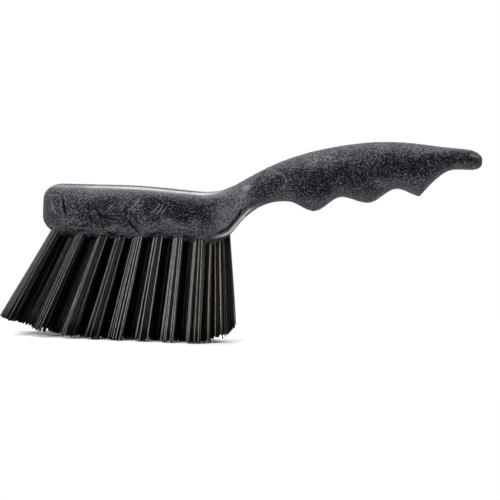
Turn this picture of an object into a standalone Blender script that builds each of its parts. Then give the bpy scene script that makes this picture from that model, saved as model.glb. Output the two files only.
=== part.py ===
"""Wheel brush: a moulded foam-plastic block and handle, with bristle tufts set by flat wire staples.

The brush stands on its trimmed bristles with the handle towards +X and the nose of the block
towards -X. Heights are given above the trimmed bristles, and lengths along X from a point near
the middle of the brush; the whole model is then moved so that the origin lies under the middle
of its box. Seen by the person who holds it, left is -Y and right is +Y.
"""

import math

import bmesh
import bpy
from mathutils import Matrix, Vector

MM = 0.001
GAP = 0.3  # clearance between pieces that touch

# Block and handle, in millimetres
NOSE_X = -91.3
HANDLE_END_X = 108.0
BLOCK_HALF_WIDTH = 21.0
NECK_HALF_WIDTH = 12.6
PALM_HALF_WIDTH = 14.0
LAST_RIDGE_HALF_WIDTH = 12.4
HANDLE_END_HALF_WIDTH = 9.0
BLOCK_SQUARENESS = 4.0  # exponent of the superellipse section: 2 is an ellipse, more is squarer
HANDLE_SQUARENESS = 2.5

# Finger ridges and the grooves between them, as (x, height) on the underside of the handle
RIDGES = ((32.2, 61.4), (56.7, 66.2), (80.0, 70.2))
GROOVES = ((20.3, 65.5), (44.8, 68.6), (69.7, 73.4))
FINGER_HOOK_SLOPE = 1.25  # the last ridge ends in a sharp corner, with this rise behind it

# Side outlines, as (x, height, slope). Two knots at one x make a corner.
TOP_LINE = (
    (NOSE_X, 68.2, 0.0),
    (-50.0, 68.7, 0.0),
    (-20.0, 67.3, -0.03),
    (-3.0, 72.3, 0.60),
    (14.0, 82.2, 0.47),
    (45.0, 92.0, 0.19),
    (70.0, 94.5, 0.0),
    (95.0, 92.9, -0.04),
    (HANDLE_END_X, 91.6, -0.2),
)
UNDER_LINE = (
    (NOSE_X, 46.6, -0.06),
    (-66.0, 45.3, 0.0),
    (-30.0, 46.2, 0.0),
    (-19.0, 44.5, 0.0),
    (-2.7, 52.9, 1.35),
    (*GROOVES[0], 0.0),
    (*RIDGES[0], 0.0),
    (*GROOVES[1], 0.0),
    (*RIDGES[1], 0.0),
    (*GROOVES[2], 0.0),
    (*RIDGES[2], -0.15),
    (*RIDGES[2], FINGER_HOOK_SLOPE),
    (95.5, 83.2, 0.05),
    (HANDLE_END_X, 83.4, 0.0),
)
HALF_WIDTH_LINE = (
    (NOSE_X, BLOCK_HALF_WIDTH, 0.0),
    (-26.0, BLOCK_HALF_WIDTH, 0.0),
    (6.0, NECK_HALF_WIDTH, 0.0),
    (46.0, PALM_HALF_WIDTH, 0.0),
    (RIDGES[2][0], LAST_RIDGE_HALF_WIDTH, -0.12),
    (HANDLE_END_X, HANDLE_END_HALF_WIDTH, -0.1),
)
SQUARENESS_LINE = (
    (NOSE_X, BLOCK_SQUARENESS, 0.0),
    (-24.0, BLOCK_SQUARENESS, 0.0),
    (6.0, HANDLE_SQUARENESS, 0.0),
    (HANDLE_END_X, HANDLE_SQUARENESS, 0.0),
)

# Rounding of the two ends: how far it reaches along X, and how much it takes off
NOSE_PLAN_REACH = 15.0
NOSE_TOP_REACH, NOSE_TOP_DROP = 6.5, 6.5
NOSE_UNDER_REACH, NOSE_UNDER_RISE = 10.0, 8.0
END_PLAN_REACH = 9.0
END_TOP_REACH, END_TOP_DROP = 7.0, 3.4
END_UNDER_REACH, END_UNDER_RISE = 5.0, 3.0

SECTION_POINTS = 28
NOSE_STATIONS = 8
BLOCK_STEP = 7.0
HANDLE_STEP = 2.5
END_STATIONS = 7

# Tufts: places of their roots along X, from the nose back
EDGE_ROW_X = (-84.5, -72.9, -62.7, -54.7, -46.9, -37.7, -28.6, -19.5)
HEEL_X = (-15.6, -7.6)
EDGE_ROW_Y = 15.5
EDGE_NOSE_Y = 12.5
INNER_PAIR_Y = 7.8
HEEL_PAIR_Y = 9.4
UPRIGHT_X = -16.0  # a tuft set here stands upright; those ahead of it lean to the nose
NOSE_LEAN_DEG = 27.0
NOSE_LEAN_X = EDGE_ROW_X[0]
LEAN_POWER = 1.2
HEEL_LEAN_PER_MM = 0.6
FLARE_PER_MM = 0.5  # degrees outwards for each millimetre off the middle

HOLE_RADIUS = 2.75
HOLE_DEPTH = 13.0
DRILL_POINT = 1.2
TUFT_ROOT_RADIUS = HOLE_RADIUS - GAP
TUFT_TIP_RADIUS = 3.8
TUFT_FOLD_DEPTH = 12.5
TUFT_FOLD_ROUND = 1.4
UNTRIMMED_LENGTH = 50.0
TUFT_SIDES = 12
HOLE_SIDES = 14

# Trim of the bristle tips: flat between these, and curving up to the nose and the heel
TRIM_FLAT = (-66.0, -11.0)
TRIM_NOSE_CURVE = 0.0044
TRIM_HEEL_CURVE = 0.07
TRIM_STEP = 6.0

STAPLE_SIZE = (0.5, 6.9, 1.8)  # thickness, length across the hole, height
STAPLE_DEPTH = 9.8
STAPLE_CHAMFER = 0.12

COLLECTION_NAME = "wheel_brush"
CUTTERS_NAME = "wheel_brush_cutters"
HOLES_NAME = "drilled_holes"
STAPLE_ROOMS_NAME = "staple_rooms"


# ---------------------------------------------------------------- scene and materials


def clear_scene():
    for obj in list(bpy.data.objects):
        bpy.data.objects.remove(obj, do_unlink=True)


def new_collection(name, parent=None):
    collection = bpy.data.collections.new(name)
    (parent or bpy.context.scene.collection).children.link(collection)
    return collection


def principled(name, color, roughness, metallic):
    material = bpy.data.materials.new(name)
    material.use_nodes = True
    material.diffuse_color = (*color, 1.0)
    shader = material.node_tree.nodes["Principled BSDF"]
    shader.inputs["Base Color"].default_value = (*color, 1.0)
    shader.inputs["Roughness"].default_value = roughness
    shader.inputs["Metallic"].default_value = metallic
    return material


def place(obj, collection, parent, location=(0.0, 0.0, 0.0), rotation=(0.0, 0.0, 0.0)):
    """Links an object under the root, at a place in millimetres and a rotation in radians."""
    collection.objects.link(obj)
    obj.parent = parent
    obj.location = Vector(location) * MM
    obj.rotation_euler = rotation
    return obj


def make_cutter(obj):
    obj.display_type = "WIRE"
    obj.hide_render = True


# ---------------------------------------------------------------- block and handle


def along(knots, x):
    """The value at x of a smooth curve through knots of (x, value, slope)."""
    pairs = [pair for pair in zip(knots, knots[1:]) if pair[1][0] > pair[0][0]]
    (x0, v0, m0), (x1, v1, m1) = next((p for p in pairs if x <= p[1][0]), pairs[-1])
    span = x1 - x0
    t = (x - x0) / span
    start = 2 * t**3 - 3 * t**2 + 1
    start_slope = t**3 - 2 * t**2 + t
    end_slope = t**3 - t**2
    return start * v0 + (1 - start) * v1 + span * (start_slope * m0 + end_slope * m1)


def rounded_off(distance, reach):
    """How far, as a share of its size, an elliptical edge has dropped at a distance from the end."""
    if distance >= reach:
        return 0.0
    return 1.0 - math.sqrt(1.0 - (1.0 - max(distance, 0.0) / reach) ** 2)


def section(x):
    """The middle height, half height, half width and squareness of the body's section at x."""
    from_nose = x - NOSE_X
    from_end = HANDLE_END_X - x
    top = along(TOP_LINE, x)
    top -= NOSE_TOP_DROP * rounded_off(from_nose, NOSE_TOP_REACH)
    top -= END_TOP_DROP * rounded_off(from_end, END_TOP_REACH)
    under = along(UNDER_LINE, x)
    under += NOSE_UNDER_RISE * rounded_off(from_nose, NOSE_UNDER_REACH)
    under += END_UNDER_RISE * rounded_off(from_end, END_UNDER_REACH)
    half_width = along(HALF_WIDTH_LINE, x)
    half_width *= 1.0 - rounded_off(from_nose, NOSE_PLAN_REACH)
    half_width *= 1.0 - rounded_off(from_end, END_PLAN_REACH)
    return (top + under) / 2, (top - under) / 2, half_width, along(SQUARENESS_LINE, x)


def section_ring(x):
    """The points of one section, a superellipse across the brush."""
    middle, half_height, half_width, squareness = section(x)
    ring = []
    for i in range(SECTION_POINTS):
        angle = 2 * math.pi * i / SECTION_POINTS
        c, s = math.cos(angle), math.sin(angle)
        y = half_width * math.copysign(abs(c) ** (2 / squareness), c)
        z = middle + half_height * math.copysign(abs(s) ** (2 / squareness), s)
        ring.append((x, y, z))
    return ring


def end_stations(x_end, reach, count, direction):
    """Places along X that crowd towards a rounded end, stopping just short of it."""
    first = 0.14
    steps = [first + (math.pi / 2 - first) * i / (count - 1) for i in range(count)]
    return [x_end + direction * reach * (1 - math.cos(a)) for a in steps]


def evenly(start, stop, step):
    count = max(1, round((stop - start) / step))
    return [start + (stop - start) * i / count for i in range(count + 1)]


def body_stations():
    nose = end_stations(NOSE_X, NOSE_PLAN_REACH, NOSE_STATIONS, 1)
    end = end_stations(HANDLE_END_X, END_PLAN_REACH, END_STATIONS, -1)[::-1]
    heel_start = HALF_WIDTH_LINE[1][0]
    hook = RIDGES[2][0]
    block = evenly(nose[-1], heel_start, BLOCK_STEP)[1:]
    grip = evenly(heel_start, hook, HANDLE_STEP)[1:]
    behind_hook = evenly(hook, end[0], HANDLE_STEP)[1:-1]
    return nose + block + grip + behind_hook + end


def loft_mesh(name, rings):
    """A closed skin over rings of points, with a flat cap on each end."""
    bm = bmesh.new()
    rows = [[bm.verts.new(Vector(p) * MM) for p in ring] for ring in rings]
    for row, following in zip(rows, rows[1:]):
        for i in range(len(row)):
            j = (i + 1) % len(row)
            bm.faces.new((row[i], row[j], following[j], following[i]))
    bm.faces.new(rows[0][::-1])
    bm.faces.new(rows[-1])
    bmesh.ops.recalc_face_normals(bm, faces=bm.faces)
    mesh = bpy.data.meshes.new(name)
    bm.to_mesh(mesh)
    bm.free()
    mesh.shade_smooth()
    mesh.set_sharp_from_angle(angle=math.radians(40))
    return mesh


def add_collection_cut(obj, name, collection):
    cut = obj.modifiers.new(name, "BOOLEAN")
    cut.operation = "DIFFERENCE"
    cut.solver = "EXACT"
    cut.operand_type = "COLLECTION"
    cut.collection = collection


def make_handle_block(collection, root, material, holes, staple_rooms):
    mesh = loft_mesh("handle_block", [section_ring(x) for x in body_stations()])
    mesh.materials.append(material)
    obj = place(bpy.data.objects.new("handle_block", mesh), collection, root)
    add_collection_cut(obj, "tuft holes", holes)
    add_collection_cut(obj, "staple slots", staple_rooms)
    return obj


# ---------------------------------------------------------------- tufts and staples


def underside_height(x, y):
    """The height of the block's underside at a point, where a hole is drilled."""
    middle, half_height, half_width, squareness = section(x)
    inside = max(0.0, 1.0 - abs(y / half_width) ** squareness)
    return middle - half_height * inside ** (1 / squareness)


def tuft_lean(x):
    """The angle by which a tuft leans towards the nose, in radians."""
    ahead = UPRIGHT_X - x
    if ahead < 0:
        return math.radians(HEEL_LEAN_PER_MM * ahead)
    share = ahead / (UPRIGHT_X - NOSE_LEAN_X)
    return math.radians(NOSE_LEAN_DEG) * share**LEAN_POWER


def tuft_places():
    """Name, x and y of every tuft: two edge rows, and singles and pairs in turn between them."""
    places = []
    for number, x in enumerate(EDGE_ROW_X, 1):
        y = EDGE_NOSE_Y if number == 1 else EDGE_ROW_Y
        places.append((f"left_{number}", x, -y))
        places.append((f"right_{number}", x, y))
    between = [(a + b) / 2 for a, b in zip(EDGE_ROW_X, EDGE_ROW_X[1:])]
    for number, x in enumerate(between + list(HEEL_X)):
        count = number // 2 + 1
        if number % 2 == 0:
            places.append((f"middle_{count}", x, 0.0))
        else:
            y = HEEL_PAIR_Y if x == HEEL_X[0] else INNER_PAIR_Y
            places.append((f"inner_left_{count}", x, -y))
            places.append((f"inner_right_{count}", x, y))
    return places


def tuft_frame(x, y):
    """The place of a tuft's hole mouth, and the rotation that points its local -Z along the bristles."""
    mouth = Vector((x, y, underside_height(x, y)))
    rotation = (math.radians(FLARE_PER_MM * y), tuft_lean(x), 0.0)
    return mouth, rotation


def turned(name, profile, sides):
    """A solid of revolution about Z, from (radius, height) points that run from top to bottom."""
    mesh = bpy.data.meshes.new(name)
    points = [(radius * MM, 0.0, height * MM) for radius, height in profile]
    edges = [(i, i + 1) for i in range(len(points) - 1)]
    mesh.from_pydata(points, edges, [])
    obj = bpy.data.objects.new(name, mesh)
    screw = obj.modifiers.new("turn", "SCREW")
    screw.steps = sides
    screw.render_steps = sides
    screw.use_merge_vertices = True
    screw.merge_threshold = 0.00001
    return obj


def add_cut(obj, name, cutter):
    cut = obj.modifiers.new(name, "BOOLEAN")
    cut.operation = "DIFFERENCE"
    cut.solver = "EXACT"
    cut.object = cutter


def box_mesh(name, size):
    bm = bmesh.new()
    bmesh.ops.create_cube(bm, size=1.0)
    bmesh.ops.scale(bm, verts=bm.verts, vec=Vector(size) * MM)
    mesh = bpy.data.meshes.new(name)
    bm.to_mesh(mesh)
    bm.free()
    return mesh


def trim_height(x):
    """The height of the bristle tips at x."""
    ahead = max(0.0, TRIM_FLAT[0] - x)
    behind = max(0.0, x - TRIM_FLAT[1])
    return TRIM_NOSE_CURVE * ahead**2 + TRIM_HEEL_CURVE * behind**2


def make_trim_cutter(collection, root):
    """A slab under the trim curve: what the trimming blades take away."""
    first, last, low, half_width = -126.0, 12.0, -25.0, 60.0
    xs = evenly(first, TRIM_FLAT[0], TRIM_STEP) + evenly(TRIM_FLAT[1], last, TRIM_STEP / 2)
    outline = [(x, trim_height(x)) for x in xs] + [(last, low), (first, low)]
    bm = bmesh.new()
    verts = [bm.verts.new(Vector((x, -half_width, z)) * MM) for x, z in outline]
    face = bm.faces.new(verts)
    extruded = bmesh.ops.extrude_face_region(bm, geom=[face])
    moved = [v for v in extruded["geom"] if isinstance(v, bmesh.types.BMVert)]
    bmesh.ops.translate(bm, verts=moved, vec=Vector((0.0, 2 * half_width * MM, 0.0)))
    bmesh.ops.recalc_face_normals(bm, faces=bm.faces)
    mesh = bpy.data.meshes.new("trim_cutter")
    bm.to_mesh(mesh)
    bm.free()
    obj = place(bpy.data.objects.new("trim_cutter", mesh), collection, root)
    make_cutter(obj)
    return obj


def make_hole_cutter(name, collection, root, mouth, rotation):
    profile = [
        (0.0, HOLE_DEPTH + DRILL_POINT),
        (HOLE_RADIUS, HOLE_DEPTH),
        (HOLE_RADIUS, -HOLE_DEPTH / 2),
        (0.0, -HOLE_DEPTH / 2),
    ]
    obj = turned(name, profile, HOLE_SIDES)
    place(obj, collection, root, mouth, rotation)
    make_cutter(obj)


def make_staple_room(name, collection, root, place_at, rotation, mesh):
    obj = place(bpy.data.objects.new(name, mesh), collection, root, place_at, rotation)
    make_cutter(obj)
    return obj


def make_tuft(name, collection, root, mouth, rotation, material, staple_room, trim):
    profile = [
        (0.0, TUFT_FOLD_DEPTH),
        (TUFT_ROOT_RADIUS * 0.75, TUFT_FOLD_DEPTH - TUFT_FOLD_ROUND * 0.35),
        (TUFT_ROOT_RADIUS, TUFT_FOLD_DEPTH - TUFT_FOLD_ROUND),
        (TUFT_ROOT_RADIUS, -GAP),
        (TUFT_TIP_RADIUS, -UNTRIMMED_LENGTH),
        (0.0, -UNTRIMMED_LENGTH),
    ]
    obj = turned(name, profile, TUFT_SIDES)
    obj.data.materials.append(material)
    place(obj, collection, root, mouth, rotation)
    add_cut(obj, "fold round the staple", staple_room)
    add_cut(obj, "trim", trim)
    return obj


def make_staple(name, collection, root, place_at, rotation, mesh):
    obj = place(bpy.data.objects.new(name, mesh), collection, root, place_at, rotation)
    chamfer = obj.modifiers.new("chamfer", "BEVEL")
    chamfer.width = STAPLE_CHAMFER * MM
    chamfer.segments = 1
    return obj


def make_tufts(collection, cutters, root, bristle, steel):
    """Drills the holes and sets a tuft and its staple in each. Returns the two cutter groups."""
    holes = new_collection(HOLES_NAME, cutters)
    rooms = new_collection(STAPLE_ROOMS_NAME, cutters)
    trim = make_trim_cutter(cutters, root)
    staple_mesh = box_mesh("staple", STAPLE_SIZE)
    staple_mesh.materials.append(steel)
    room_mesh = box_mesh("staple_room", [size + 2 * GAP for size in STAPLE_SIZE])
    for name, x, y in tuft_places():
        mouth, rotation = tuft_frame(x, y)
        into_block = Matrix.Rotation(rotation[1], 3, "Y") @ Matrix.Rotation(rotation[0], 3, "X")
        staple_at = mouth + into_block @ Vector((0.0, 0.0, STAPLE_DEPTH))
        make_hole_cutter(f"hole_{name}", holes, root, mouth, rotation)
        room = make_staple_room(f"room_{name}", rooms, root, staple_at, rotation, room_mesh)
        make_tuft(f"tuft_{name}", collection, root, mouth, rotation, bristle, room, trim)
        make_staple(f"staple_{name}", collection, root, staple_at, rotation, staple_mesh)
    return holes, rooms


# ---------------------------------------------------------------- assembly


def stand_on_origin(root, parts):
    """Moves the root so that the origin lies at the middle of the underside of the whole box."""
    depsgraph = bpy.context.evaluated_depsgraph_get()
    points = []
    for obj in parts:
        evaluated = obj.evaluated_get(depsgraph)
        mesh = evaluated.to_mesh()
        points += [evaluated.matrix_world @ v.co for v in mesh.vertices]
        evaluated.to_mesh_clear()
    low = [min(p[i] for p in points) for i in range(3)]
    high = [max(p[i] for p in points) for i in range(3)]
    root.location = (-(low[0] + high[0]) / 2, -(low[1] + high[1]) / 2, -low[2])


def main():
    clear_scene()
    parts = new_collection(COLLECTION_NAME)
    cutters = new_collection(CUTTERS_NAME)
    root = bpy.data.objects.new("wheel_brush_root", None)
    parts.objects.link(root)

    foam_plastic = principled("moulded_foam_plastic", (0.035, 0.040, 0.050), 0.55, 0.0)
    bristle = principled("black_bristle", (0.012, 0.011, 0.011), 0.45, 0.0)
    steel = principled("staple_wire", (0.60, 0.60, 0.58), 0.35, 1.0)

    holes, rooms = make_tufts(parts, cutters, root, bristle, steel)
    make_handle_block(parts, root, foam_plastic, holes, rooms)
    stand_on_origin(root, [obj for obj in parts.objects if obj.type == "MESH"])


main()
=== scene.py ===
"""Looks of the wheel brush: moulded foam-plastic body and single bristle filaments, on a pale floor."""

import math

import bmesh
import bpy
import numpy as np
from mathutils import Matrix, Vector, noise


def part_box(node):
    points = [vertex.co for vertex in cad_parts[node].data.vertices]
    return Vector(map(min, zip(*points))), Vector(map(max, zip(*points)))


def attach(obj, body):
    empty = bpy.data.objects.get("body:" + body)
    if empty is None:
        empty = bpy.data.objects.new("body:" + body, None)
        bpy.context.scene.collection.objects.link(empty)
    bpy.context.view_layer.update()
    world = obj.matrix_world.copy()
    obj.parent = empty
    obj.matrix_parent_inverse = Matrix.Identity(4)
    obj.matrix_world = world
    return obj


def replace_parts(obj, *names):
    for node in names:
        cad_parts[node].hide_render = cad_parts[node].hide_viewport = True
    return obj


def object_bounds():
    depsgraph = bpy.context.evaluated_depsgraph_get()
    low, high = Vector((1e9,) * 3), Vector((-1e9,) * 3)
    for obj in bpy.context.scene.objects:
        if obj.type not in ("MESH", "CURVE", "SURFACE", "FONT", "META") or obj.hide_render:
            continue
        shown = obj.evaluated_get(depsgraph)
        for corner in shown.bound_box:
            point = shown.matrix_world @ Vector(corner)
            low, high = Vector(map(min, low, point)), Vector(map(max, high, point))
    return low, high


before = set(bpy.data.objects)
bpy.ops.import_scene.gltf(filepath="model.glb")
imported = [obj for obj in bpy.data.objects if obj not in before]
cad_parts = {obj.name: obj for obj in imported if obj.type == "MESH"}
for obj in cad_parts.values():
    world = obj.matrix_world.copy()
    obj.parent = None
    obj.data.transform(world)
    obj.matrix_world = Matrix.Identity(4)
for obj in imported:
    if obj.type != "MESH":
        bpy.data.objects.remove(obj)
CAD_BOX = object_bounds()

MM = 0.001

# ---------------------------------------------------------------- body mesh and holes, in millimetres
BODY_VOXEL = 0.5
BODY_SMOOTHING = 8
SMOOTHING_FACTOR = 0.5
HOLE_RADIUS = 2.75
HOLE_ABOVE_STAPLE = 3.2
STAPLE_TO_MOUTH = 9.8
DRILL_LENGTH = 30.0
DRILL_SIDES = 20
RIM_WIDTH = 0.8  # raised lip round the mouth of each drilled hole
RIM_HEIGHT = 0.35
RIM_CENTRE = 0.55
RIM_REACH = 5.0  # it is looked for this near the mouth, along the hole
RIM_FACING = 0.1  # on plastic that faces the bristles at least this much
RIM_HIGHLIGHT = 0.45  # share of its height that is painted pale, as a highlight on the lip
BORE_CLEARANCE = 0.1  # the relief leaves the holes' walls alone, with this much round them
BORE_ABOVE_STAPLE = HOLE_ABOVE_STAPLE + 1.0
BORE_BELOW_STAPLE = 25.0

# ---------------------------------------------------------------- relief of the moulding, in millimetres
MARK_CAP = 0.26  # a mark stands no higher than this, and a greater height only paints it paler, as a highlight
WRINKLE_WIDTH = 0.34

# Creases and flow lines on the brush's left side, towards -Y: (height, half width, (x, z) points).
# A negative height is a groove. In the colour, grooves get painted shade and ridges a painted highlight.
SIDE_MARKS = (
    (-0.34, 0.55, ((-81.6, 64.2), (-81.0, 60.4), (-80.2, 57.2), (-78.9, 54.0))),
    (0.14, 0.60, ((-86.4, 63.3), (-86.5, 60.1), (-85.2, 57.2), (-82.1, 54.8))),
    (0.16, 0.45, ((-89.5, 63.9), (-85.7, 64.0), (-81.8, 64.3))),
    (-0.36, 0.45, ((-52.4, 54.9), (-48.6, 51.3), (-44.1, 46.4))),
    (-0.15, 0.40, ((-2.6, 64.9), (-0.9, 61.4), (-1.8, 57.7), (-4.7, 54.0), (-9.1, 50.6), (-14.5, 48.6))),
    (0.22, 0.60, ((12.0, 77.1), (16.4, 78.4), (19.3, 75.8), (18.9, 73.0), (16.8, 70.7))),
    # three groups of slanting wrinkles
    (0.21, WRINKLE_WIDTH, ((-62.5, 56.4), (-59.8, 59.9), (-56.3, 63.4))),
    (0.23, WRINKLE_WIDTH, ((-60.9, 56.6), (-58.2, 60.0), (-54.6, 63.8))),
    (0.19, WRINKLE_WIDTH, ((-59.2, 57.3), (-56.9, 60.1), (-53.6, 63.2))),
    (0.22, WRINKLE_WIDTH, ((-57.6, 57.2), (-55.2, 60.1), (-52.0, 63.5))),
    (0.18, WRINKLE_WIDTH, ((-55.8, 57.9), (-53.7, 60.2), (-50.4, 63.0))),
    (0.22, WRINKLE_WIDTH, ((-52.4, 57.0), (-50.1, 60.0), (-47.4, 63.0), (-45.9, 65.1))),
    (0.18, WRINKLE_WIDTH, ((-50.9, 57.2), (-48.7, 59.8), (-46.0, 62.6))),
    (0.21, WRINKLE_WIDTH, ((-49.3, 57.6), (-47.2, 60.1), (-44.3, 63.4))),
    (0.19, WRINKLE_WIDTH, ((-40.9, 57.6), (-38.9, 60.6), (-36.8, 63.6))),
    (0.22, WRINKLE_WIDTH, ((-39.1, 56.2), (-37.3, 59.5), (-35.0, 63.4))),
    (0.19, WRINKLE_WIDTH, ((-37.4, 56.6), (-35.7, 59.4), (-33.6, 62.4))),
    # flow lines between them and the nose
    (0.18, 0.40, ((-68.7, 56.0), (-66.1, 58.9))),
    (-0.22, 0.45, ((-67.7, 63.0), (-65.8, 58.1), (-63.0, 55.9), (-58.3, 54.5))),
    (0.14, 0.50, ((-66.7, 55.2), (-70.2, 53.1), (-74.9, 52.7))),
    (-0.14, 0.55, ((-80.2, 53.1), (-76.0, 51.2), (-71.4, 50.9), (-67.1, 52.2))),
    # the flash line from the heel up the neck, painted pale as a highlight, and two painted highlights: on
    # the neck and at the handle's tip
    (
        0.60,
        0.85,
        ((-15.6, 47.2), (-10.2, 48.8), (-6.8, 50.2), (-4.6, 52.0), (-2.3, 55.1), (3.2, 61.2), (11.4, 65.5)),
    ),
    (0.24, 1.70, ((-0.6, 70.2), (1.7, 71.1), (4.0, 72.0))),
    (0.26, 0.90, ((101.6, 90.4), (104.2, 89.8), (107.4, 88.9))),
)
MARKED_FACING = -0.08  # the marks lie where the surface's normal has less than this along Y
MARK_WAVER = 0.35
SHOULDER_OUT = 1.9  # beside a mark the surface goes the other way: how many half widths out
SHOULDER_SHARE = 0.3  # and by what share of the mark's height
MARK_ENDS = 4.0  # a mark fades in over its first quarter and out over its last

WRINKLE_SLOPE = 52.0  # degrees; the slanting wrinkles without a path of their own, on both sides
WRINKLE_LENGTH = 5.0
WRINKLE_SPACING = 1.0
WRINKLE_BEND = 1.3
WRINKLE_SHARPNESS = 2.6
WRINKLE_CREST_POWER = 3
WRINKLE_HEIGHT = 0.15
WRINKLE_PATCHINESS = 1.5
WRINKLE_STRENGTHS = (0.2, 0.7, 1.2)  # least, usual and most, as shares of their height
WRINKLE_X = (-38.0, 21.0)  # middle and reach of the patch that they fill
WRINKLE_Z = (60.0, 6.0)

SWIRL_BEND = 3.0
SWIRL_STRETCH = 0.55
SWIRL_SHARPNESS = 2.4
SWIRL_HEIGHT = 0.12
PEBBLE_HEIGHT = 0.08
SWELL_HEIGHT = 0.12  # the broad, soft unevenness of the whole moulding

NECK_FROM = -6.0  # the block's polished top ends here, where the neck rises
NECK_BLEND = 12.0
POLISH_ACROSS = (-4.0, 9.5)  # middle and reach of the polish across the block
POLISH_FACING = (0.8, 0.15)  # it starts at this upward normal, and takes this much more to be full
POLISH_DULLS = (-84.0, 22.0, 0.3)  # at the nose: start, reach and least share of the polish
POLISH_PATCHINESS = 0.5
POLISH_SMOOTHS = 0.85  # share of the swirls that the polish takes away
FAR_LIP_ACROSS = (11.5, 4.0)  # middle and reach of the soft lip along the top's far edge
FAR_LIP_HEIGHT = 0.55
FAR_LIP_FACING = 0.5
# painted highlight on the nose's front
NOSE_HIGHLIGHT = 0.07
NOSE_HIGHLIGHT_TO = -80.0
NOSE_HIGHLIGHT_FACING = (0.5, 0.4)

# Bands of dark, pitted plastic with painted shade, across the middle of the sides, along the underside edge
# and on the nose: (middle x, reach along x, middle and reach as shares of the section, depth)
SECTION_STEP = 2.0
DARK_BANDS = (
    (-31.0, 21.0, 0.66, 0.26, 1.0),
    (-60.0, 18.0, 0.56, 0.28, 0.85),
    # painted shade on the nose, which the key light brightens
    (-90.0, 12.0, 0.50, 0.42, 0.3),
    # painted shade along the underside edge, above the holes' mouths
    (-50.0, 36.0, 0.00, 0.12, 1.0),
    (13.0, 8.5, 0.58, 0.26, 0.9),
    (40.0, 24.0, 0.51, 0.25, 1.0),
    (70.0, 26.0, 0.56, 0.29, 1.0),
    (94.0, 14.0, 0.62, 0.24, 1.0),
)
HIGHLIGHT_BAND = (-5.0, 8.0, 0.40, 0.34, 0.7)  # and a painted highlight where the neck rises from the heel
BAND_RAGGED = 0.16  # how far noise shifts the bands, as a share of the section

# ---------------------------------------------------------------- bristles, in millimetres
FILAMENT_RADIUS = 0.26
FILAMENT_SIDES = 6
FILAMENT_STEPS = 7
FILAMENTS_PER_TUFT = 40
TUFT_ROOT_RADIUS = 2.5
TUFT_TIP_RADIUS = 3.3
GOLDEN_ANGLE = math.pi * (3 - math.sqrt(5))
ANGLE_SPREAD = 0.05  # radians
TIP_SPREAD = 0.14
TIP_RAGGED = 1.0
END_REACH = 8.0  # the trimmed end lies this near a tuft's lowest point
END_FACING = -0.5  # and faces down at least this much
STRAY_SHARE = 0.05
STRAY_SPREAD = (0.4, 1.4)
TWIST_SPREAD = 0.05  # radians
BOW_SPREAD = 0.14
LATE_PARTING = 0.25  # the filaments of a tuft stay together at first, and part further down

# Tones, from 0 for black to 1 for the full painted highlight
LIT_TONES = (0.55, 1.0)
DARK_TONES = (0.0, 0.03)
OUTER_SHARE = 0.80  # filaments nearer the middle of the tuft than this part of its radius stay dark, as painted shade
DARK_SHARE = 0.34  # and so does this share of the outer ones
HEEL_FROM = -22.0  # the heel's tufts stand past this x
HEEL_BLEND = 6.0
HEEL_DARK_SHARE = 0.50  # and more of their outer filaments are dark
INNER_REACH = (-19.0, 11.0)  # the inner tufts stand before this x, and within this y of the middle
INNER_TONE = 0.12  # and carry less painted highlight, as painted shade for the inner rows
NOSE_TO = -48.0
NOSE_TONE = 0.62  # and the ones under the nose, before this x, carry less painted highlight too
MEASURED_SEED = 100
INFILL_SEED = 200

# ---------------------------------------------------------------- stage, in metres
FLOOR_SIZE = 30.0
FLOOR_DROP = 0.0001
FLOOR_FADE = (0.14, 0.30)  # distance from the brush's middle over which the floor turns to pure white
FLOOR_MIRROR_FADE = (0.05, 0.30)  # and distance behind it over which its mirror image does
FLOOR_BOUNCE = 0.15  # what the floor gives back as a light
GRIP_BOUNCE = 0.60  # and what it gives back under the handle
GRIP_BOUNCE_FROM = (-0.02, 0.03)
WORLD_FRONT = 0.05
WORLD_BEHIND = 1.3
WORLD_TURN = (0.2, 0.95)

# Each softbox: name, place, what it points at, width and height, power
SOFTBOXES = (
    ("top_softbox", (-0.05, 0.05, 0.80), (0.0, 0.0, 0.0), (1.2, 1.0), 14.0),
    ("key_softbox", (-0.40, -0.76, 0.28), (-0.03, 0.0, 0.04), (0.28, 0.28), 8.7),
)

# ---------------------------------------------------------------- camera: a long lens, almost level
LENS = 400.0
SENSOR = 36.0
VIEW_WIDTH = 0.2283  # metres across the picture at the brush
VIEW_ELEVATION = 3.0
VIEW_ROLL = 2.5
AIM_BEFORE_TIP = 0.104
AIM_HEIGHT = 0.0424
CLIP = (0.05, 100.0)


def vectors(layer, field):
    """The vectors of a mesh layer, as rows of an array."""
    values = np.empty(len(layer) * 3, np.float32)
    layer.foreach_get(field, values)
    return values.reshape(-1, 3).astype(float)


def tuft_names():
    return sorted(n[len("tuft_"):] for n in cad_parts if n.startswith("tuft_"))


# ---------------------------------------------------------------- node helpers


def new_material(name):
    material = bpy.data.materials.new(name)
    material.use_nodes = True
    return material, material.node_tree


def node(tree, kind, inputs=None, **settings):
    made = tree.nodes.new(kind)
    for key, value in settings.items():
        setattr(made, key, value)
    for key, value in (inputs or {}).items():
        made.inputs[key].default_value = value
    return made


def link(tree, source, target):
    tree.links.new(source, target)


def feed(tree, value, socket):
    """Links a node's output to a socket, or sets the socket to a constant."""
    if isinstance(value, bpy.types.NodeSocket):
        link(tree, value, socket)
    else:
        socket.default_value = value


def object_coordinates(tree):
    return node(tree, "ShaderNodeTexCoord").outputs["Object"]


def attribute(tree, name):
    return node(tree, "ShaderNodeAttribute", attribute_name=name).outputs["Fac"]


def separate(tree, vector):
    """The X, Y and Z outputs of a vector."""
    parts = node(tree, "ShaderNodeSeparateXYZ")
    link(tree, vector, parts.inputs[0])
    return parts.outputs


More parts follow.
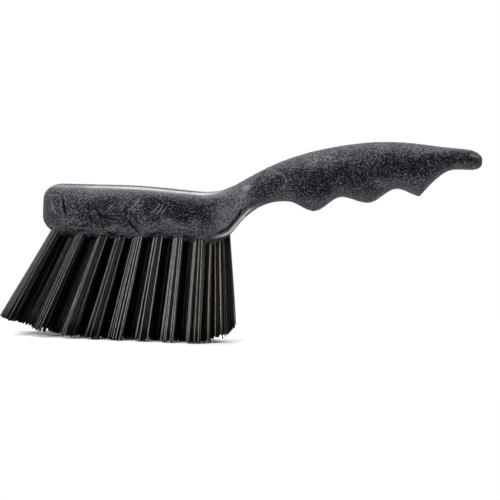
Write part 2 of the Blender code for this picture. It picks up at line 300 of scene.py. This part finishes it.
def noise_texture(tree, coordinates, scale, detail=3.0, roughness=0.5, distortion=0.0):
    texture = node(
        tree,
        "ShaderNodeTexNoise",
        {"Scale": scale, "Detail": detail, "Roughness": roughness, "Distortion": distortion},
    )
    link(tree, coordinates, texture.inputs["Vector"])
    return texture.outputs["Fac"]


def remap(tree, value, from_low, from_high, to_low=0.0, to_high=1.0):
    mapped = node(
        tree,
        "ShaderNodeMapRange",
        {"From Min": from_low, "From Max": from_high, "To Min": to_low, "To Max": to_high},
    )
    link(tree, value, mapped.inputs["Value"])
    return mapped.outputs["Result"]


def mix_colors(tree, factor, first, second):
    mixed = node(tree, "ShaderNodeMix", data_type="RGBA")
    for socket, value in ((0, factor), (6, first), (7, second)):
        feed(tree, value, mixed.inputs[socket])
    return mixed.outputs[2]


def mix_shaders(tree, factor, first, second):
    mixed = node(tree, "ShaderNodeMixShader")
    for socket, source in enumerate((factor, first, second)):
        link(tree, source, mixed.inputs[socket])
    return mixed.outputs[0]


def combine(tree, operation, first, second):
    made = node(tree, "ShaderNodeMath", operation=operation)
    for socket, value in enumerate((first, second)):
        feed(tree, value, made.inputs[socket])
    return made.outputs[0]


# ---------------------------------------------------------------- materials

SLATE = (0.040, 0.040, 0.048, 1.0)
SLATE_LIGHT = (0.068, 0.074, 0.081, 1.0)
# painted highlight where the neck rises from the heel
SLATE_HIGHLIGHT = (0.125, 0.130, 0.138, 1.0)
# colour of the dark bands: darker plastic and painted shade
SLATE_DARK = (0.005, 0.003, 0.008, 1.0)
# painted shade: the grain's pits and the grooves painted near black
PIT_AND_GROOVE_SHADE = (0.001, 0.001, 0.002, 1.0)
# painted glints: light specks in the grain and on the ridges, standing in for glossy glints
PAINTED_GLINT = (0.270, 0.278, 0.298, 1.0)
# pale painted highlight on the flash line and the highest marks
PALE_HIGHLIGHT = (0.72, 0.74, 0.75, 1.0)
CLOUD_SCALE = 90.0
CLOUD_RANGE = (0.40, 0.64)  # noise values between slate and light slate
GRAIN_SCALE = 2200.0
GRAIN_STRETCH = (0.75, 1.0, 1.1)
GRAIN_DEPTH = 0.0004
GRAIN_DARKENED = 0.065  # a dark band lowers the grain by this, so that it has more pits and fewer specks
DARKEST = 0.97
PIT_GRAIN = (0.43, 0.50)  # grain values between a full pit and none
FEWEST_PITS = 0.75
SPECK_GRAIN = (0.52, 0.62)  # and between no speck and a full one
SPECK_SHARE = 0.32
GROOVE_HEIGHTS = (-0.16, -0.03)  # heights of the marks, in millimetres, over which each colour comes in: painted shade in grooves, painted highlights on ridges and, highest, a pale painted highlight
RIDGE_HEIGHTS = (0.07, 0.24)
PALE_HIGHLIGHT_HEIGHTS = (0.28, 0.48)
RIDGE_SHARE = 0.42
NOISE_MIDDLE = (0.3, 0.7)  # most values of a noise lie between these
PLASTIC_ROUGHNESS = (0.36, 0.48)
PLASTIC_SPECULAR = 0.06
POLISH_ROUGHNESS = 0.16

BRISTLE_BLACK = (0.002, 0.002, 0.002, 1.0)
# painted highlight of the lit filaments, warmer and brighter past the heel
BRISTLE_HIGHLIGHT = (0.208, 0.202, 0.189, 1.0)
BRISTLE_HIGHLIGHT_HEEL = (0.340, 0.302, 0.260, 1.0)
SCUFF_SCALE = 600.0
SCUFF_RANGE = (0.35, 0.6)
SCUFF_LEAST = 0.6
BRISTLE_ROUGHNESS = (0.34, 0.5)
BRISTLE_SPECULAR = 0.15

ZINC_DARK = (0.42, 0.42, 0.41, 1.0)
ZINC_LIGHT = (0.66, 0.66, 0.64, 1.0)
ZINC_SCALE = 1200.0
ZINC_ROUGHNESS = (0.28, 0.5)

POLYPROPYLENE_IOR = 1.49
FLOOR_PALE = (0.86, 0.86, 0.86, 1.0)
FLOOR_ROUGHNESS = 0.9
FLOOR_SPECULAR = 0.1
WHITE = (1.0, 1.0, 1.0, 1.0)
SKY = (0.93, 0.96, 1.0, 1.0)


def grey(value):
    return (value, value, value, 1.0)


def body_material():
    """Foamed polypropylene: cloudy slate, glossy where polished, with painted light and shade: grain pits
    painted dark as shade, specks painted light as glints, dark bands of darker plastic and painted shade, a
    painted highlight where the neck rises, painted shade in grooves, and painted highlights on ridges, the
    flash line, the hole lips and the nose.
    """
    material, tree = new_material("foamed_plastic")
    shader = tree.nodes["Principled BSDF"]
    place = object_coordinates(tree)
    stretched = node(tree, "ShaderNodeMapping", {"Scale": GRAIN_STRETCH})
    link(tree, place, stretched.inputs["Vector"])
    clouds = noise_texture(tree, place, CLOUD_SCALE, detail=4.0, roughness=0.6, distortion=1.0)
    grain = noise_texture(tree, stretched.outputs["Vector"], GRAIN_SCALE, detail=0.5, distortion=1.0)
    dark = attribute(tree, "dark_plastic_and_painted_light")
    grain = combine(tree, "SUBTRACT", grain, combine(tree, "MULTIPLY", dark, GRAIN_DARKENED))
    crease = attribute(tree, "crease")
    # pits: the grain's low spots painted near black, as the shade in them
    pits = remap(tree, grain, *PIT_GRAIN, 1.0, 0.0)
    pits = combine(tree, "MULTIPLY", pits, remap(tree, dark, 0.0, 1.0, FEWEST_PITS, 1.0))
    # specks: the grain's high spots painted light, as glints
    specks = remap(tree, grain, *SPECK_GRAIN, 0.0, SPECK_SHARE)
    # grooves: painted shade in the creases
    grooves = remap(tree, crease, *GROOVE_HEIGHTS, 1.0, 0.0)
    # ridges: painted highlight on the crests
    ridges = remap(tree, crease, *RIDGE_HEIGHTS, 0.0, RIDGE_SHARE)
    # the highest marks, mostly the flash line: pale painted highlight
    wear_and_highlight = remap(tree, crease, *PALE_HIGHLIGHT_HEIGHTS)
    color = mix_colors(tree, remap(tree, clouds, *CLOUD_RANGE), SLATE, SLATE_LIGHT)
    # painted highlight where the neck rises from the heel
    color = mix_colors(tree, remap(tree, dark, -1.0, 0.0, 1.0, 0.0), color, SLATE_HIGHLIGHT)
    # dark bands: darker plastic and painted shade
    color = mix_colors(tree, remap(tree, dark, 0.0, 1.0, 0.0, DARKEST), color, SLATE_DARK)
    color = mix_colors(tree, pits, color, PIT_AND_GROOVE_SHADE)
    color = mix_colors(tree, specks, color, PAINTED_GLINT)
    color = mix_colors(tree, grooves, color, PIT_AND_GROOVE_SHADE)
    color = mix_colors(tree, ridges, color, PAINTED_GLINT)
    color = mix_colors(tree, wear_and_highlight, color, PALE_HIGHLIGHT)
    link(tree, color, shader.inputs["Base Color"])
    link(tree, remap(tree, clouds, *NOISE_MIDDLE, *PLASTIC_ROUGHNESS), shader.inputs["Roughness"])
    shader.inputs["IOR"].default_value = POLYPROPYLENE_IOR
    shader.inputs["Specular IOR Level"].default_value = PLASTIC_SPECULAR
    link(tree, attribute(tree, "polish"), shader.inputs["Coat Weight"])
    shader.inputs["Coat Roughness"].default_value = POLISH_ROUGHNESS
    fine = node(tree, "ShaderNodeBump", {"Strength": 1.0, "Distance": GRAIN_DEPTH})
    link(tree, grain, fine.inputs["Height"])
    link(tree, fine.outputs["Normal"], shader.inputs["Normal"])
    return material


def bristle_material():
    """Black polypropylene filament, with a tone that differs from filament to filament: some outer filaments
    carry a painted highlight, warmer and brighter at the heel, the others stay black as painted shade, and a
    noise varies the highlight at random.
    """
    material, tree = new_material("bristle_filament")
    shader = tree.nodes["Principled BSDF"]
    place = object_coordinates(tree)
    wear_and_highlight = noise_texture(tree, place, SCUFF_SCALE, detail=2.0)
    heel = remap(tree, separate(tree, place)["X"], HEEL_FROM * MM, (HEEL_FROM + HEEL_BLEND) * MM)
    painted_highlight = mix_colors(tree, heel, BRISTLE_HIGHLIGHT, BRISTLE_HIGHLIGHT_HEEL)
    wear = remap(tree, wear_and_highlight, *SCUFF_RANGE, SCUFF_LEAST, 1.0)
    tone = combine(tree, "MULTIPLY", attribute(tree, "filament_tone"), wear)
    link(tree, mix_colors(tree, tone, BRISTLE_BLACK, painted_highlight), shader.inputs["Base Color"])
    link(tree, remap(tree, wear_and_highlight, *NOISE_MIDDLE, *BRISTLE_ROUGHNESS), shader.inputs["Roughness"])
    shader.inputs["IOR"].default_value = POLYPROPYLENE_IOR
    shader.inputs["Specular IOR Level"].default_value = BRISTLE_SPECULAR
    return material


def staple_material():
    """Flat steel wire with a dull, cloudy zinc skin."""
    material, tree = new_material("staple_steel")
    shader = tree.nodes["Principled BSDF"]
    skin = noise_texture(tree, object_coordinates(tree), ZINC_SCALE)
    link(tree, mix_colors(tree, skin, ZINC_DARK, ZINC_LIGHT), shader.inputs["Base Color"])
    shader.inputs["Metallic"].default_value = 1.0
    link(tree, remap(tree, skin, *NOISE_MIDDLE, *ZINC_ROUGHNESS), shader.inputs["Roughness"])
    return material


def floor_material():
    """Pale studio floor, which is white further off.

    Away from the brush the camera sees the floor in the background's white, so no edge shows. The
    part behind the brush is white in its polish too. As a light the floor is darker than it looks.
    """
    material, tree = new_material("studio_floor")
    output = tree.nodes["Material Output"]
    shader = tree.nodes["Principled BSDF"]
    rays = node(tree, "ShaderNodeLightPath").outputs
    seen = rays["Is Camera Ray"]
    place = object_coordinates(tree)
    across = separate(tree, place)
    under_grip = remap(tree, across["X"], *GRIP_BOUNCE_FROM)
    bounce = mix_colors(tree, under_grip, grey(FLOOR_BOUNCE), grey(GRIP_BOUNCE))
    link(tree, mix_colors(tree, seen, bounce, FLOOR_PALE), shader.inputs["Base Color"])
    shader.inputs["Roughness"].default_value = FLOOR_ROUGHNESS
    shader.inputs["Specular IOR Level"].default_value = FLOOR_SPECULAR
    white = node(tree, "ShaderNodeEmission", {"Color": WHITE, "Strength": 1.0})
    distance = node(tree, "ShaderNodeVectorMath", operation="LENGTH")
    link(tree, place, distance.inputs[0])
    far = remap(tree, distance.outputs["Value"], *FLOOR_FADE)
    behind = remap(tree, across["Y"], *FLOOR_MIRROR_FADE)
    mirrored = combine(tree, "MULTIPLY", behind, rays["Is Glossy Ray"])
    whitened = combine(tree, "MULTIPLY", far, combine(tree, "MAXIMUM", seen, mirrored))
    surface = mix_shaders(tree, whitened, shader.outputs[0], white.outputs[0])
    link(tree, surface, output.inputs["Surface"])
    return material


# ---------------------------------------------------------------- where the tufts stand


def measured_axis(name):
    """A CAD tuft's axis: the place of its staple, and its trimmed end's centre and plane."""
    staple = vectors(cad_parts[f"staple_{name}"].data.vertices, "co").mean(axis=0)
    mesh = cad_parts[f"tuft_{name}"].data
    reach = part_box(f"tuft_{name}")[0][2] + END_REACH * MM
    down = [p for p in mesh.polygons if p.normal.z < END_FACING and p.center.z < reach]
    area = sum(p.area for p in down)
    end = sum((Vector(p.center) * p.area for p in down), Vector()) / area
    normal = sum((Vector(p.normal) * p.area for p in down), Vector()).normalized()
    return np.array([staple, end, normal])


def infill_axes(measured):
    """Axes of the tufts that stand between the CAD's, each midway between the ones round it."""
    neighbours = {}
    for k in range(2, 5):
        middle = f"middle_{k}"
        for side in ("left", "right"):
            neighbours[f"between_{side}_{k}"] = [f"{side}_{2 * k - 1}", f"{side}_{2 * k}", middle, middle]
        neighbours[f"between_middle_{k}"] = [f"inner_left_{k}", f"inner_right_{k}"]
    for side in ("left", "right"):
        neighbours[f"between_{side}_1"] = [f"{side}_1", "middle_1"]
        neighbours[f"between_{side}_5"] = [f"inner_{side}_4", "middle_5"]
        neighbours[f"between_{side}_6"] = [f"{side}_2", "middle_1"]
    neighbours["between_middle_1"] = ["inner_left_1", "inner_right_1", "middle_1"]
    return {name: sum(measured[n] for n in near) / len(near) for name, near in sorted(neighbours.items())}


def direction_of(axis):
    """The unit vector along a tuft, from its staple to its trimmed end."""
    along = axis[1] - axis[0]
    return along / np.linalg.norm(along)


# ---------------------------------------------------------------- body mesh


def evaluated_mesh(obj):
    depsgraph = bpy.context.evaluated_depsgraph_get()
    return bpy.data.meshes.new_from_object(obj.evaluated_get(depsgraph), depsgraph=depsgraph)


def add_drill(bm, axis):
    """A rod where a hole is to be drilled."""
    direction = Vector(direction_of(axis))
    start = Vector(axis[0]) - direction * HOLE_ABOVE_STAPLE * MM
    place = Matrix.Translation(start + direction * DRILL_LENGTH / 2 * MM)
    turn = direction.to_track_quat("Z", "Y").to_matrix().to_4x4()
    bmesh.ops.create_cone(
        bm,
        cap_ends=True,
        segments=DRILL_SIDES,
        radius1=HOLE_RADIUS * MM,
        radius2=HOLE_RADIUS * MM,
        depth=DRILL_LENGTH * MM,
        matrix=place @ turn,
    )


def fine_body_mesh(infill):
    """The CAD body with the holes of the infill tufts, as an even, fine mesh with no facets."""
    bm = bmesh.new()
    for axis in infill.values():
        add_drill(bm, axis)
    drill_mesh = bpy.data.meshes.new("drills")
    bm.to_mesh(drill_mesh)
    bm.free()
    drills = bpy.data.objects.new("drills", drill_mesh)
    source = bpy.data.objects.new("body_source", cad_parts["handle_block"].data.copy())
    for obj in (drills, source):
        bpy.context.scene.collection.objects.link(obj)
    cut = source.modifiers.new("drilling", "BOOLEAN")
    cut.operation = "DIFFERENCE"
    cut.object = drills
    remesh = source.modifiers.new("voxels", "REMESH")
    remesh.mode = "VOXEL"
    remesh.voxel_size = BODY_VOXEL * MM
    smooth = source.modifiers.new("smooth", "SMOOTH")
    smooth.factor = SMOOTHING_FACTOR
    smooth.iterations = BODY_SMOOTHING
    mesh = evaluated_mesh(source)
    for obj in (source, drills):
        data = obj.data
        bpy.data.objects.remove(obj)
        bpy.data.meshes.remove(data)
    return mesh


# ---------------------------------------------------------------- relief of the body


def noise_at(points, size, shift, octaves=1):
    """Smooth noise from -1 to 1 at each point, for features about size millimetres across."""
    spots = points / (size * MM) + shift
    if octaves == 1:
        return np.array([noise.noise(Vector(p)) for p in spots])
    return np.array([noise.fractal(Vector(p), 1.0, 2.0, octaves) for p in spots])


def plateau(values, middle, reach):
    """1 within reach of the middle, and 0 further off, with soft edges."""
    return np.exp(-(((values - middle) / reach) ** 4))


def ramp(values, start, length):
    """0 up to the start, then up to 1 over the length."""
    return np.clip((values - start) / length, 0.0, 1.0)


def smooth_path(points, steps=8):
    """A Catmull-Rom curve through a few points, as a fine polyline."""
    ends = [2 * np.array(points[0]) - points[1], 2 * np.array(points[-1]) - points[-2]]
    knots = np.array([ends[0], *points, ends[1]])
    path = []
    for a, b, c, d in zip(knots, knots[1:], knots[2:], knots[3:]):
        for t in np.arange(steps) / steps:
            linear = (c - a) * t
            square = (2 * a - 5 * b + 4 * c - d) * t**2
            cube = (3 * b - a - 3 * c + d) * t**3
            path.append(0.5 * (2 * b + linear + square + cube))
    path.append(np.array(points[-1]))
    return np.array(path)


def distance_to_path(spots, path):
    """For each (x, z) spot, how far it is from a polyline, and how far along it (0 to 1) it comes nearest."""
    nearest = np.full(len(spots), np.inf)
    share = np.zeros(len(spots))
    for i, (a, b) in enumerate(zip(path, path[1:])):
        t = np.clip(((spots - a) @ (b - a)) / ((b - a) @ (b - a)), 0.0, 1.0)
        gap = np.linalg.norm(spots - a - t[:, None] * (b - a), axis=1)
        closer = gap < nearest
        nearest[closer] = gap[closer]
        share[closer] = ((i + t) / (len(path) - 1))[closer]
    return nearest, share


def side_marks(points, normals):
    """Height of the creases and flow lines on the brush's left side, in millimetres."""
    height = np.zeros(len(points))
    side = np.flatnonzero(normals[:, 1] < MARKED_FACING)
    spots = points[side][:, [0, 2]] / MM
    waver = noise_at(points[side], size=2.6, shift=17.3) * MARK_WAVER
    for rise, half_width, knots in SIDE_MARKS:
        gap, share = distance_to_path(spots, smooth_path(knots))
        profile = np.exp(-(((gap + waver) / half_width) ** 2))
        shoulder = np.exp(-(((gap - SHOULDER_OUT * half_width) / half_width) ** 2))
        fade = np.clip(MARK_ENDS * share, 0.0, 1.0) * np.clip(MARK_ENDS * (1 - share), 0.0, 1.0)
        height[side] += (rise * profile - SHOULDER_SHARE * rise * shoulder) * fade
    return height


def wrinkles(points):
    """Height of the slanting wrinkles on the upper half of the block's sides, in millimetres."""
    x, z = points[:, 0] / MM, points[:, 2] / MM
    warp = noise_at(points, size=7.0, shift=11.7, octaves=2)
    slope = math.radians(WRINKLE_SLOPE)
    along = (x * math.cos(slope) + z * math.sin(slope)) / WRINKLE_LENGTH
    across = (x * math.sin(slope) - z * math.cos(slope)) / WRINKLE_SPACING + WRINKLE_BEND * warp
    spots = np.stack([along, points[:, 1] / MM / WRINKLE_LENGTH, across], axis=1) * MM
    ridges = 1.0 - WRINKLE_SHARPNESS * np.abs(noise_at(spots, size=1.0, shift=4.4))
    crests = np.clip(ridges, 0.0, 1.0) ** WRINKLE_CREST_POWER
    least, usual, most = WRINKLE_STRENGTHS
    strength = np.clip(usual + WRINKLE_PATCHINESS * warp, least, most)
    return WRINKLE_HEIGHT * crests * (plateau(x, *WRINKLE_X) * plateau(z, *WRINKLE_Z)) * strength


def swirls(points):
    """Height of the fine, curling flow streaks over the whole moulding, in millimetres."""
    warp = np.stack([noise_at(points, size=6.0, shift=shift) for shift in (2.2, 31.0, 57.0)], axis=1)
    turned = points + warp * SWIRL_BEND * MM
    turned[:, 0] *= SWIRL_STRETCH
    streaks = np.clip(1.0 - SWIRL_SHARPNESS * np.abs(noise_at(turned, size=1.5, shift=8.8)), 0.0, 1.0)
    return SWIRL_HEIGHT * streaks + PEBBLE_HEIGHT * noise_at(points, size=1.1, shift=5.3)


def section_share(points):
    """How high each point lies in the body's section at its place along X: 0 underneath, 1 on top."""
    place = points[:, 0] / (SECTION_STEP * MM)
    slices = np.floor(place).astype(int)
    first = slices.min()
    low = np.full(slices.max() - first + 1, np.inf)
    high = -low
    np.minimum.at(low, slices - first, points[:, 2])
    np.maximum.at(high, slices - first, points[:, 2])
    middles = np.arange(len(low)) + first + 0.5
    under, top = np.interp(place, middles, low), np.interp(place, middles, high)
    return np.clip((points[:, 2] - under) / (top - under), 0.0, 1.0)


def band(x, share, settings):
    """One band of the plastic: its depth in the middle, and 0 outside it."""
    middle_x, reach_x, middle_share, reach_share, depth = settings
    return depth * plateau(x, middle_x, reach_x) * plateau(share, middle_share, reach_share)


def dark_plastic_and_painted_light(points):
    """How dark and pitted the plastic is, with painted shade: up to 1 in the dark bands, and under 0 in the
    band of painted highlight.
    """
    x = points[:, 0] / MM
    share = section_share(points) + BAND_RAGGED * noise_at(points, size=8.0, shift=41.0, octaves=3)
    field = np.zeros(len(points))
    for settings in DARK_BANDS:
        field = np.maximum(field, band(x, share, settings))
    return field - band(x, share, HIGHLIGHT_BAND)


def ahead_of_neck(points):
    """1 on the block, and 0 where the neck rises."""
    return np.clip((NECK_FROM - points[:, 0] / MM) / NECK_BLEND, 0.0, 1.0)


def polish_of(points, normals):
    """How glossy the plastic is, 0 to 1: a strip on top of the block, which dulls towards the nose."""
    strip = ramp(normals[:, 2], *POLISH_FACING) * plateau(points[:, 1] / MM, *POLISH_ACROSS)
    start, reach, least = POLISH_DULLS
    dulled = np.clip((points[:, 0] / MM - start) / reach, least, 1.0)
    dulled *= 1.0 + POLISH_PATCHINESS * noise_at(points, size=7.0, shift=23.0, octaves=2)
    return strip * (ahead_of_neck(points) * np.clip(dulled, 0.0, 1.0))


def far_lip(points, normals):
    """Height of the soft lip along the far edge of the block's top, in millimetres."""
    facing_up = np.clip(normals[:, 2] / FAR_LIP_FACING - 1.0, 0.0, 1.0)
    return FAR_LIP_HEIGHT * (plateau(points[:, 1] / MM, *FAR_LIP_ACROSS) * facing_up * ahead_of_neck(points))


def rim_and_bore(points, normals, axis):
    """Height of the lip round one hole's mouth, and which points lie on the hole's walls."""
    direction = direction_of(axis)
    along = (points - axis[0]) @ direction / MM
    radius = np.linalg.norm(points - axis[0] - along[:, None] * direction * MM, axis=1) / MM
    mouth = (np.abs(along - STAPLE_TO_MOUTH) < RIM_REACH) & (normals @ direction > RIM_FACING)
    rim = np.exp(-(((radius - HOLE_RADIUS - RIM_CENTRE) / RIM_WIDTH) ** 2))
    bore = radius < HOLE_RADIUS + BORE_CLEARANCE
    bore &= (along > -BORE_ABOVE_STAPLE) & (along < BORE_BELOW_STAPLE)
    return np.where(mouth, RIM_HEIGHT * rim, 0.0), bore


def nose_highlight(points, normals):
    """Painted highlight: the nose's front is a little paler, in the colour that a raised crease takes."""
    return NOSE_HIGHLIGHT * ramp(-normals[:, 0], *NOSE_HIGHLIGHT_FACING) * (points[:, 0] < NOSE_HIGHLIGHT_TO * MM)


def set_attribute(mesh, name, values):
    layer = mesh.attributes.new(name, "FLOAT", "POINT")
    layer.data.foreach_set("value", values.astype(np.float32))


def make_body(material, axes, infill):
    mesh = fine_body_mesh(infill)
    points = vectors(mesh.vertices, "co")
    normals = vectors(mesh.vertex_normals, "vector")
    polish = polish_of(points, normals)
    marks = side_marks(points, normals) + wrinkles(points)
    set_attribute(mesh, "dark_plastic_and_painted_light", dark_plastic_and_painted_light(points))
    set_attribute(mesh, "polish", polish)
    height = SWELL_HEIGHT * noise_at(points, size=24.0, shift=3.1, octaves=3)
    height += far_lip(points, normals)
    height += np.minimum(marks, MARK_CAP)
    height += swirls(points) * (1.0 - POLISH_SMOOTHS * polish)
    for axis in axes.values():
        lip, bore = rim_and_bore(points, normals, axis)
        height += lip
        # the lip is painted pale, as a highlight
        marks += RIM_HIGHLIGHT * lip
        height[bore] = 0.0
    points += normals * (height * MM)[:, None]
    marks += nose_highlight(points, normals)
    # crease: the marks' heights, which paint shade into grooves and highlights onto ridges, with the lips'
    # and the nose's painted highlights
    set_attribute(mesh, "crease", marks)
    mesh.vertices.foreach_set("co", points.astype(np.float32).ravel())
    mesh.shade_smooth()
    mesh.materials.clear()
    mesh.materials.append(material)
    mesh.update()
    body = bpy.data.objects.new("moulded_body", mesh)
    bpy.context.scene.collection.objects.link(body)
    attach(body, "root")
    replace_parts(body, "handle_block")


# ---------------------------------------------------------------- bristles


def side_vectors(direction):
    """Two unit vectors square to a direction and to each other."""
    first = np.cross(direction, (0.0, 1.0, 0.0))
    first /= np.linalg.norm(first)
    return first, np.cross(direction, first)


def circle_vector(first, second, angle):
    """The unit vector at an angle from the first of two side vectors towards the second."""
    return first * math.cos(angle) + second * math.sin(angle)


def filament_share(index):
    """How far out in its tuft a filament stands, 0 to 1, so that all of them are evenly spread."""
    return math.sqrt((index + 0.5) / FILAMENTS_PER_TUFT)


def filament_path(rng, index, axis):
    """The centre line of one filament, from beside its staple to its cut tip."""
    staple, end, end_normal = axis
    direction = direction_of(axis)
    sides = side_vectors(direction)
    share = filament_share(index)
    angle = index * GOLDEN_ANGLE + rng.normal(0.0, ANGLE_SPREAD)
    root = staple + circle_vector(*sides, angle) * share * (TUFT_ROOT_RADIUS - FILAMENT_RADIUS) * MM
    mouth = root + direction * STAPLE_TO_MOUTH * MM
    spread = TUFT_TIP_RADIUS * share + rng.normal(0.0, TIP_SPREAD)
    if rng.random() < STRAY_SHARE:
        spread += rng.uniform(*STRAY_SPREAD)
    twist = rng.normal(0.0, TWIST_SPREAD)
    heading = end + circle_vector(*sides, angle + twist) * spread * MM - mouth
    reach = ((end - mouth) @ end_normal) / (heading @ end_normal)
    heading *= reach - abs(rng.normal(0.0, TIP_RAGGED)) * MM / np.linalg.norm(heading)
    bow_angle = rng.uniform(0.0, 2 * math.pi)
    bow = circle_vector(*sides, bow_angle) * rng.normal(0.0, BOW_SPREAD) * MM
    widening = heading - direction * (heading @ direction)
    path = [root]
    for step in range(FILAMENT_STEPS + 1):
        t = step / FILAMENT_STEPS
        parting = LATE_PARTING * t * (t - 1) * widening
        path.append(mouth + heading * t + parting + bow * math.sin(math.pi * t) ** 2)
    return path


def add_tube(bm, tone_layer, path, tone):
    """A closed tube round a path."""
    rings = []
    for i, point in enumerate(path):
        ahead = path[min(i + 1, len(path) - 1)] - path[max(i - 1, 0)]
        ahead /= np.linalg.norm(ahead)
        sides = side_vectors(ahead)
        ring = []
        for k in range(FILAMENT_SIDES):
            outward = circle_vector(*sides, 2 * math.pi * k / FILAMENT_SIDES)
            vert = bm.verts.new(point + outward * FILAMENT_RADIUS * MM)
            vert[tone_layer] = tone
            ring.append(vert)
        rings.append(ring)
    for ring, following in zip(rings, rings[1:]):
        for k in range(FILAMENT_SIDES):
            j = (k + 1) % FILAMENT_SIDES
            face = bm.faces.new((ring[k], following[k], following[j], ring[j]))
            face.smooth = True
    bm.faces.new(rings[0])
    bm.faces.new(rings[-1][::-1])


def tuft_tone(axis):
    """How much painted highlight a tuft's filaments carry, as a share, by where it stands: less in the inner
    rows, as painted shade, and under the nose.
    """
    x, y = axis[0][0] / MM, axis[0][1] / MM
    if x < INNER_REACH[0] and abs(y) < INNER_REACH[1]:
        return INNER_TONE
    if x < NOSE_TO:
        return NOSE_TONE
    return 1.0


def make_tuft(name, axis, material, seed):
    rng = np.random.default_rng(seed)
    painted_highlight = tuft_tone(axis)
    dark_share = HEEL_DARK_SHARE if axis[0][0] > HEEL_FROM * MM else DARK_SHARE
    bm = bmesh.new()
    tone_layer = bm.verts.layers.float.new("filament_tone")
    for index in range(FILAMENTS_PER_TUFT):
        path = filament_path(rng, index, axis)
        # lit outer filaments carry a painted highlight; the rest stay black, as painted shade
        lit = filament_share(index) > OUTER_SHARE and rng.random() > dark_share
        tone = rng.uniform(*LIT_TONES) if lit else rng.uniform(*DARK_TONES)
        add_tube(bm, tone_layer, path, tone * painted_highlight)
    bmesh.ops.recalc_face_normals(bm, faces=bm.faces)
    mesh = bpy.data.meshes.new(f"bristles_{name}")
    bm.to_mesh(mesh)
    bm.free()
    mesh.materials.append(material)
    tuft = bpy.data.objects.new(f"bristles_{name}", mesh)
    bpy.context.scene.collection.objects.link(tuft)
    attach(tuft, "root")
    return tuft


# ---------------------------------------------------------------- stage


def make_floor():
    mesh = bpy.data.meshes.new("studio_floor")
    bm = bmesh.new()
    bmesh.ops.create_grid(bm, x_segments=1, y_segments=1, size=FLOOR_SIZE)
    bm.to_mesh(mesh)
    bm.free()
    mesh.materials.append(floor_material())
    floor = bpy.data.objects.new("studio_floor", mesh)
    bpy.context.scene.collection.objects.link(floor)
    floor.location.z = -FLOOR_DROP


def make_world():
    """White where the camera sees it. As a light it is dim in front of the brush and bright behind it."""
    world = bpy.data.worlds.new("studio")
    bpy.context.scene.world = world
    world.use_nodes = True
    tree = world.node_tree
    background = tree.nodes["Background"]
    background.inputs["Color"].default_value = WHITE
    direction = separate(tree, node(tree, "ShaderNodeTexCoord").outputs["Generated"])
    strength = remap(tree, direction["Y"], *WORLD_TURN, WORLD_FRONT, WORLD_BEHIND)
    light = node(tree, "ShaderNodeBackground", {"Color": SKY})
    link(tree, strength, light.inputs["Strength"])
    seen = node(tree, "ShaderNodeLightPath").outputs["Is Camera Ray"]
    surface = mix_shaders(tree, seen, light.outputs[0], background.outputs[0])
    link(tree, surface, tree.nodes["World Output"].inputs["Surface"])


def add_softbox(name, location, target, size, power):
    light = bpy.data.lights.new(name, "AREA")
    light.shape = "RECTANGLE"
    light.size, light.size_y = size
    light.energy = power
    lamp = bpy.data.objects.new(name, light)
    bpy.context.scene.collection.objects.link(lamp)
    lamp.location = location
    lamp.rotation_euler = (Vector(target) - Vector(location)).to_track_quat("-Z", "Y").to_euler()


def make_camera():
    camera = bpy.data.objects.new("camera", bpy.data.cameras.new("camera"))
    bpy.context.scene.collection.objects.link(camera)
    camera.data.lens = LENS
    camera.data.sensor_width = SENSOR
    camera.data.clip_start, camera.data.clip_end = CLIP
    aim = Vector((CAD_BOX[1][0] - AIM_BEFORE_TIP, 0.0, AIM_HEIGHT))
    distance = LENS * VIEW_WIDTH / SENSOR
    elevation, roll = math.radians(VIEW_ELEVATION), math.radians(VIEW_ROLL)
    back = Vector((0.0, -math.cos(elevation), math.sin(elevation)))
    upright = Vector((0.0, math.sin(elevation), math.cos(elevation)))
    level = Vector((1.0, 0.0, 0.0))
    right = level * math.cos(roll) + upright * math.sin(roll)
    up = upright * math.cos(roll) - level * math.sin(roll)
    turn = Matrix((right, up, back)).transposed()
    camera.matrix_world = Matrix.Translation(aim + back * distance) @ turn.to_4x4()
    bpy.context.scene.camera = camera


def main():
    bpy.context.scene.view_settings.view_transform = "Standard"
    make_camera()
    make_world()
    make_floor()
    for softbox in SOFTBOXES:
        add_softbox(*softbox)
    measured = {name: measured_axis(name) for name in tuft_names()}
    infill = infill_axes(measured)
    make_body(body_material(), measured | infill, infill)
    bristle = bristle_material()
    steel = staple_material()
    for number, (name, axis) in enumerate(measured.items()):
        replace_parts(make_tuft(name, axis, bristle, MEASURED_SEED + number), f"tuft_{name}")
        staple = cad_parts[f"staple_{name}"]
        staple.data.materials.clear()
        staple.data.materials.append(steel)
    for number, (name, axis) in enumerate(infill.items()):
        make_tuft(name, axis, bristle, INFILL_SEED + number)


main()
